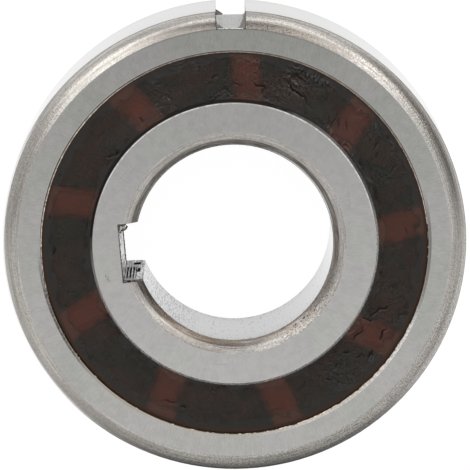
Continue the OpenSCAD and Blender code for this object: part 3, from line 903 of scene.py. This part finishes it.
front_marks = [
    # angle, radius, length, heading from the radius, depth
    (66, 16.5, 4.6, 66, 0.12), (80, 16.3, 2.4, 78, 0.10), (88, 16.1, 1.6, 100, 0.08),
    (52, 15.6, 1.6, 20, 0.08), (50, 15.9, 1.8, 24, 0.08), (48, 16.1, 1.6, 30, 0.08),
    (46, 16.4, 1.4, 34, 0.07), (68, 18.2, 2.0, 70, 0.08), (57, 17.6, 1.6, 40, 0.07),
    (34, 17.4, 1.3, 10, 0.09), (31, 17.0, 1.0, 60, 0.08), (24, 17.8, 1.2, 30, 0.08),
    (12, 16.4, 1.6, 70, 0.07), (3, 17.4, 1.2, 100, 0.07), (-2, 16.2, 1.4, 80, 0.06),
    (-16, 17.0, 1.0, 90, 0.07), (-26.5, 16.3, 3.2, 55, 0.12), (-31, 15.7, 1.5, 36, 0.10),
    (-33, 17.8, 1.7, 95, 0.14), (-37.6, 15.7, 2.1, 94, 0.13), (-40.5, 18.0, 1.3, 89, 0.12),
    (-43.7, 17.2, 0.9, 99, 0.10), (-46, 16.1, 0.9, 36, 0.12), (-51.6, 16.5, 1.1, 100, 0.10),
    (-56, 15.9, 0.9, 76, 0.08), (-57, 17.1, 0.6, 60, 0.12), (-66, 16.4, 1.6, 100, 0.07),
    (-76, 17.8, 1.8, 92, 0.05), (-92, 17.6, 2.4, 94, 0.06), (-104, 17.9, 2.0, 90, 0.06),
    (-108, 17.8, 1.0, 86, 0.12), (-112.8, 17.6, 2.2, 113, 0.09), (182, 18.3, 1.2, 90, 0.12),
    (126, 15.6, 0.9, 20, 0.12), (96, 16.9, 0.9, 90, 0.12), (97.5, 16.4, 0.8, 80, 0.08),
    (143.5, 15.4, 1.0, 60, 0.12), (141.5, 14.9, 0.7, 90, 0.12), (140, 17.2, 2.0, 80, 0.04),
    (113, 16.2, 1.2, 70, 0.06), (104, 16.8, 1.5, 60, 0.05), (158, 18.8, 0.8, 20, 0.07),
    (171, 18.7, 0.8, 80, 0.10), (171, 15.2, 0.7, 90, 0.08),
]


def film_patch(side, marks, seed):
    """One wrinkled shield, with the depth of its folds, what lies under it and its slopes for a painted
    sheen kept for the finish.
    """
    steps, rows = 1180, 60
    verts, faces, folds, ribs, slopes = [], [], [], [], []
    for i in range(steps):
        angle = 2 * math.pi * i / steps
        turned = math.degrees(angle)
        near = [m for m in marks if near_angle(m[0], turned) < 14]
        bay = 0.10 + max(strong * max(0.0, 1 - (near_angle(turned, middle) / half) ** 2)
                         for middle, half, strong in film_bays)
        for j in range(rows + 1):
            r = film_inner + (film_outer - film_inner) * j / rows
            x, y = r * math.cos(angle), r * math.sin(angle)
            patchy = min(1, max(0, 0.62 + 1.6 * noise.noise(Vector((x * 0.33, y * 0.33, seed)))))
            broad = noise.noise(Vector((x * 0.5, y * 0.5, seed + 5))) * 0.04
            fine = wrinkles(x, y, seed) * 0.17 * bay * patchy
            # Painted sheen: lit is how far the wrinkles and creases slope towards the top, kept as slope to
            # raise the gloss where they face the light.
            lit = 1.1 * (wrinkles(x, y + 0.08, seed) - wrinkles(x, y - 0.08, seed)) * bay * patchy
            fold = crease(x, y, near)
            lit -= 2.0 * (crease(x, y + 0.1, near) - crease(x, y - 0.1, near))
            held = min(1, (r - film_inner) / 0.5, max(0.15, (19.5 - r) / 1.3))
            raised = 0.06 * min(1, max(0, (r - 17.8) / 1.7))
            high = film_top + raised + (broad + fine) * held - 0.8 * fold * min(1, held + 0.3)
            verts.append((x, side * y, side * min(film_crest, max(film_bottom + 0.03, high))))
            folds.append(min(1, fold / 0.10))
            slopes.append(-lit * held)
            from_rib = abs(across_rib(r, angle * side))
            ribs.append(min(1, max(0, (rib_half_width + 0.4 - from_rib) / 0.8)))
    top = len(verts)
    for i in range(steps):
        angle = 2 * math.pi * i / steps
        for r in (film_inner, film_outer):
            verts.append((r * math.cos(angle), side * r * math.sin(angle), side * film_bottom))
            folds.append(0.0)
            ribs.append(0.0)
            slopes.append(0.0)

    def at(i, j):
        return i % steps * (rows + 1) + j

    def below(i, outer):
        return top + 2 * (i % steps) + outer
    for i in range(steps):
        for j in range(rows):
            faces.append((at(i, j), at(i + 1, j), at(i + 1, j + 1), at(i, j + 1)))
        faces.append((below(i, 0), below(i, 1), below(i + 1, 1), below(i + 1, 0)))
        faces.append((at(i, 0), below(i, 0), below(i + 1, 0), at(i + 1, 0)))
        faces.append((at(i, rows), at(i + 1, rows), below(i + 1, 1), below(i, 1)))
    return verts, faces, {"fold": folds, "rib": ribs, "slope": slopes}


film, tree = new_material("shield_film")
radius = use(tree, radius_group)
fold = kept_value(tree, "fold")
rib = kept_value(tree, "rib")
film_tint = mix(tree, speckle(tree, 2.6, 0.38, 0.62), (0.026, 0.014, 0.009, 1), (0.011, 0.013, 0.009, 1))
film_tint = stain(tree, film_tint, (0.05, 0.022, 0.012, 1), speckle(tree, 0.7, 0.5, 0.65, 0.4), 0.35)
# Painted shade: the folds are painted near black, and further down they are also made less see-through.
film_tint = stain(tree, film_tint, (0.001, 0.001, 0.001, 1), fold, 0.85)
wander = added(tree, radius, speckle(tree, 1.5, 0.25, 0.75, 0.8), 0.9)
rim = most(tree, ease(tree, wander, 18.3, 19.3), ease(tree, wander, 15.1, 16.3, 1.0, 0.0))
rim_tint = mix(tree, ease(tree, rib, 0.1, 0.9), (0.012, 0.0095, 0.0075, 1), (0.055, 0.0185, 0.0105, 1))
film_tint = mix(tree, rim, film_tint, rim_tint)
glued = ease(tree, radius, 19.12, 19.34)
film_tint = mix(tree, glued, film_tint, (0.046, 0.025, 0.015, 1))
cover = most(tree, ease(tree, fold, 0.0, 1.0, 0.42, 0.9), times(tree, rim, 0.93))
grain = grain_at(tree, own_place(tree), 2.5 / MM)
bump = put(tree, "ShaderNodeBump", {"Height": grain, "Strength": 0.3, "Distance": 0.01 * MM})
# Painted sheen: the gloss is raised where the film slopes towards the top and lowered where it slopes away
# and in the folds; the glued band is less glossy too.
slope = kept_value(tree, "slope")
gloss_and_sheen = times(tree, ease(tree, slope, -0.30, 0.42, 0.0, 1.06), ease(tree, fold, 0.1, 0.9, 1.0, 0.1))
gloss_and_sheen = times(tree, gloss_and_sheen, ease(tree, glued, 0.0, 1.0, 1.0, 0.45))
finish(tree, film_tint, 0.24, Alpha=cover, Normal=bump.outputs[0], Specular_IOR_Level=gloss_and_sheen)
for name, node, side, marks, seed in (("front_film", "front_shield", 1, front_marks, 2.0),
                                      ("rear_film", "rear_shield", -1, front_marks[6:20], 31.0)):
    verts, faces, kept = film_patch(side, marks, seed)
    piece = solid(name, verts, faces, film, "outer_ring", kept)
    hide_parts(node)


# The lip bead. Varnish and soft metal have been squeezed up along the inner edge of the outer ring's lip
# on the front, widest at the lower right.
# Each table holds an angle from +X and the value there.
bead_widths = [(-90, 0.75), (-75, 0.95), (-30, 1.0), (-12, 0.6), (10, 0.42), (170, 0.42), (200, 0.5),
               (270, 0.75)]
bead_radii = [(-90, 19.70), (-25, 19.73), (0, 19.64), (15, 19.53), (30, 19.49), (165, 19.49), (185, 19.58),
              (200, 19.66), (270, 19.70)]
bead_raggedness = [(-90, 0.35), (-20, 0.35), (10, 0.25), (180, 0.25), (215, 0.35), (270, 0.35)]
bead_points = 900
bead_height = 6.88


def between(table, value):
    """The value of a table of pairs at a point between them."""
    for (a, at_a), (b, at_b) in zip(table, table[1:]):
        if a <= value <= b:
            return at_a + (at_b - at_a) * (value - a) / (b - a)
    return table[-1][1]


bead_finish, tree = new_material("lip_bead")
bead_tint = mix(tree, speckle(tree, 0.35, 0.4, 0.6), (0.84, 0.77, 0.71, 1), (0.60, 0.53, 0.47, 1))
bead_tint = stain(tree, bead_tint, (0.06, 0.04, 0.03, 1), speckle(tree, 0.2, 0.52, 0.62, 0.7), 0.7)
bead_tint = stain(tree, bead_tint, (0.20, 0.18, 0.165, 1), toward(tree, 72, 54, 14), 0.8)
finish(tree, bead_tint, 0.38, 0.7)
bead = []
bead_scale = []
for i in range(bead_points):
    turned = -90 + 360 * i / bead_points
    angle, r = math.radians(turned), between(bead_radii, turned)
    bead.append((r * math.cos(angle), r * math.sin(angle), bead_height))
    ragged = 1 + between(bead_raggedness, turned) * noise.noise(Vector((i * 0.13, 0, 5)))
    bead_scale.append(between(bead_widths, turned) * ragged)
swept("lip_bead", bead, bead_scale, True, bead_finish, "outer_ring", "ring_steel", 0.16, sides=8, lump=0.14,
      lump_size=0.22, seed=0.004, top=face_height - 0.005)


# The burrs. Thin jagged edges of the rings' own steel along both keyways, which the broach and the
# milling cutter pushed up and nobody filed off. One is torn loose as a flap on the outside.
burr_steel, tree = new_material("burr_steel")
burr_tint = mix(tree, speckle(tree, 0.16, 0.42, 0.6), (0.86, 0.85, 0.83, 1), (0.45, 0.42, 0.38, 1))
finish(tree, burr_tint, 0.3, 1.0)
dark_burr, tree = new_material("dark_burr")
dark_tint = mix(tree, speckle(tree, 0.2, 0.4, 0.62), (0.05, 0.042, 0.036, 1), (0.20, 0.18, 0.16, 1))
finish(tree, dark_tint, 0.45, 0.6)
burr_step = 0.06


def burr(name, corners, finish, body, thick, seed, top=face_height):
    """A jagged burr along straight edges between corners, thin at its ends."""
    path, widths = [], []
    for start, end in zip(corners, corners[1:]):
        pieces = max(3, round(math.dist(start, end) / burr_step))
        for i in range(pieces):
            share = i / pieces
            path.append(tuple(a + (b - a) * share for a, b in zip(start, end)))
    path.append(corners[-1])
    for i in range(len(path)):
        from_end = min(i, len(path) - 1 - i)
        widths.append(min(1, 0.4 + from_end / 3) * (0.85 + 0.9 * noise.noise(Vector((i * 0.31, seed, 1)))))
    return swept(name, path, widths, False, finish, body, "ring_steel", thick, lump=thick * 0.9,
                 lump_size=0.12, seed=seed * MM, top=top)


def key_point(along, across, z):
    """A point beside the bore keyway from its distances along and across it."""
    a = math.radians(bore_key_angle)
    return (along * math.cos(a) - across * math.sin(a), along * math.sin(a) + across * math.cos(a), z)


def wall_corner(side):
    """The front corner of one wall of the outside keyway, down the ring's rounded corner."""
    return [(side * rim_key_half, 22.0, 6.93), (side * rim_key_half, 22.7, 6.62)]


burr("key_floor_burr", [key_point(11.57, across, 6.96) for across in (-2.95, 2.95)], dark_burr, "inner_ring",
     0.085, 3)
low_edge = [(11.6, 6.965), (11.2, 6.965), (10.7, 6.70)]
burr("key_low_burr", [key_point(along, bore_key_half, z) for along, z in low_edge], dark_burr, "inner_ring",
     0.05, 5)
burr("key_high_burr", [key_point(along, -bore_key_half, 6.97) for along in (11.6, 11.25)], dark_burr,
     "inner_ring", 0.06, 7)
curl = [(11.50, -2.35), (11.42, -2.80), (11.10, -2.94), (10.76, -2.90), (10.66, -2.66), (10.86, -2.42),
        (11.20, -2.36), (11.46, -2.05)]
burr("key_corner_curl", [key_point(along, across, 6.72) for along, across in curl], dark_burr, "inner_ring",
     0.11, 8, 6.9)
burr("key_corner_burr", [key_point(along, -2.66, 6.76) for along in (11.14, 10.86)], burr_steel,
     "inner_ring", 0.34, 9, face_height - 0.005)
burr("key_back_burr", [key_point(11.56, across, -6.86) for across in (-2.9, 2.9)], dark_burr, "inner_ring",
     0.06, 11)

floor_corners = [(side * rim_key_half, rim_key_floor, 6.965) for side in (-1, 1)]
burr("rim_key_front_burr", floor_corners, burr_steel, "outer_ring", 0.10, 13)
burr("rim_key_left_burr", wall_corner(-1), dark_burr, "outer_ring", 0.085, 15)
flap = [(-1.52, 23.34, 2.9), (-1.52, 23.16, 5.6), (-0.86, 23.16, 5.2)]
flap_back = [(x, y - 0.06, z - 0.02) for x, y, z in flap]
flap_faces = [(0, 1, 2), (3, 5, 4), (0, 3, 4, 1), (1, 4, 5, 2), (2, 5, 3, 0)]
solid("rim_key_flap", flap + flap_back, flap_faces, dark_burr, "outer_ring", {})
burr("rim_key_flap_edge", flap + flap[:1], dark_burr, "outer_ring", 0.085, 19)
burr("rim_key_right_burr", wall_corner(1), dark_burr, "outer_ring", 0.045, 17)
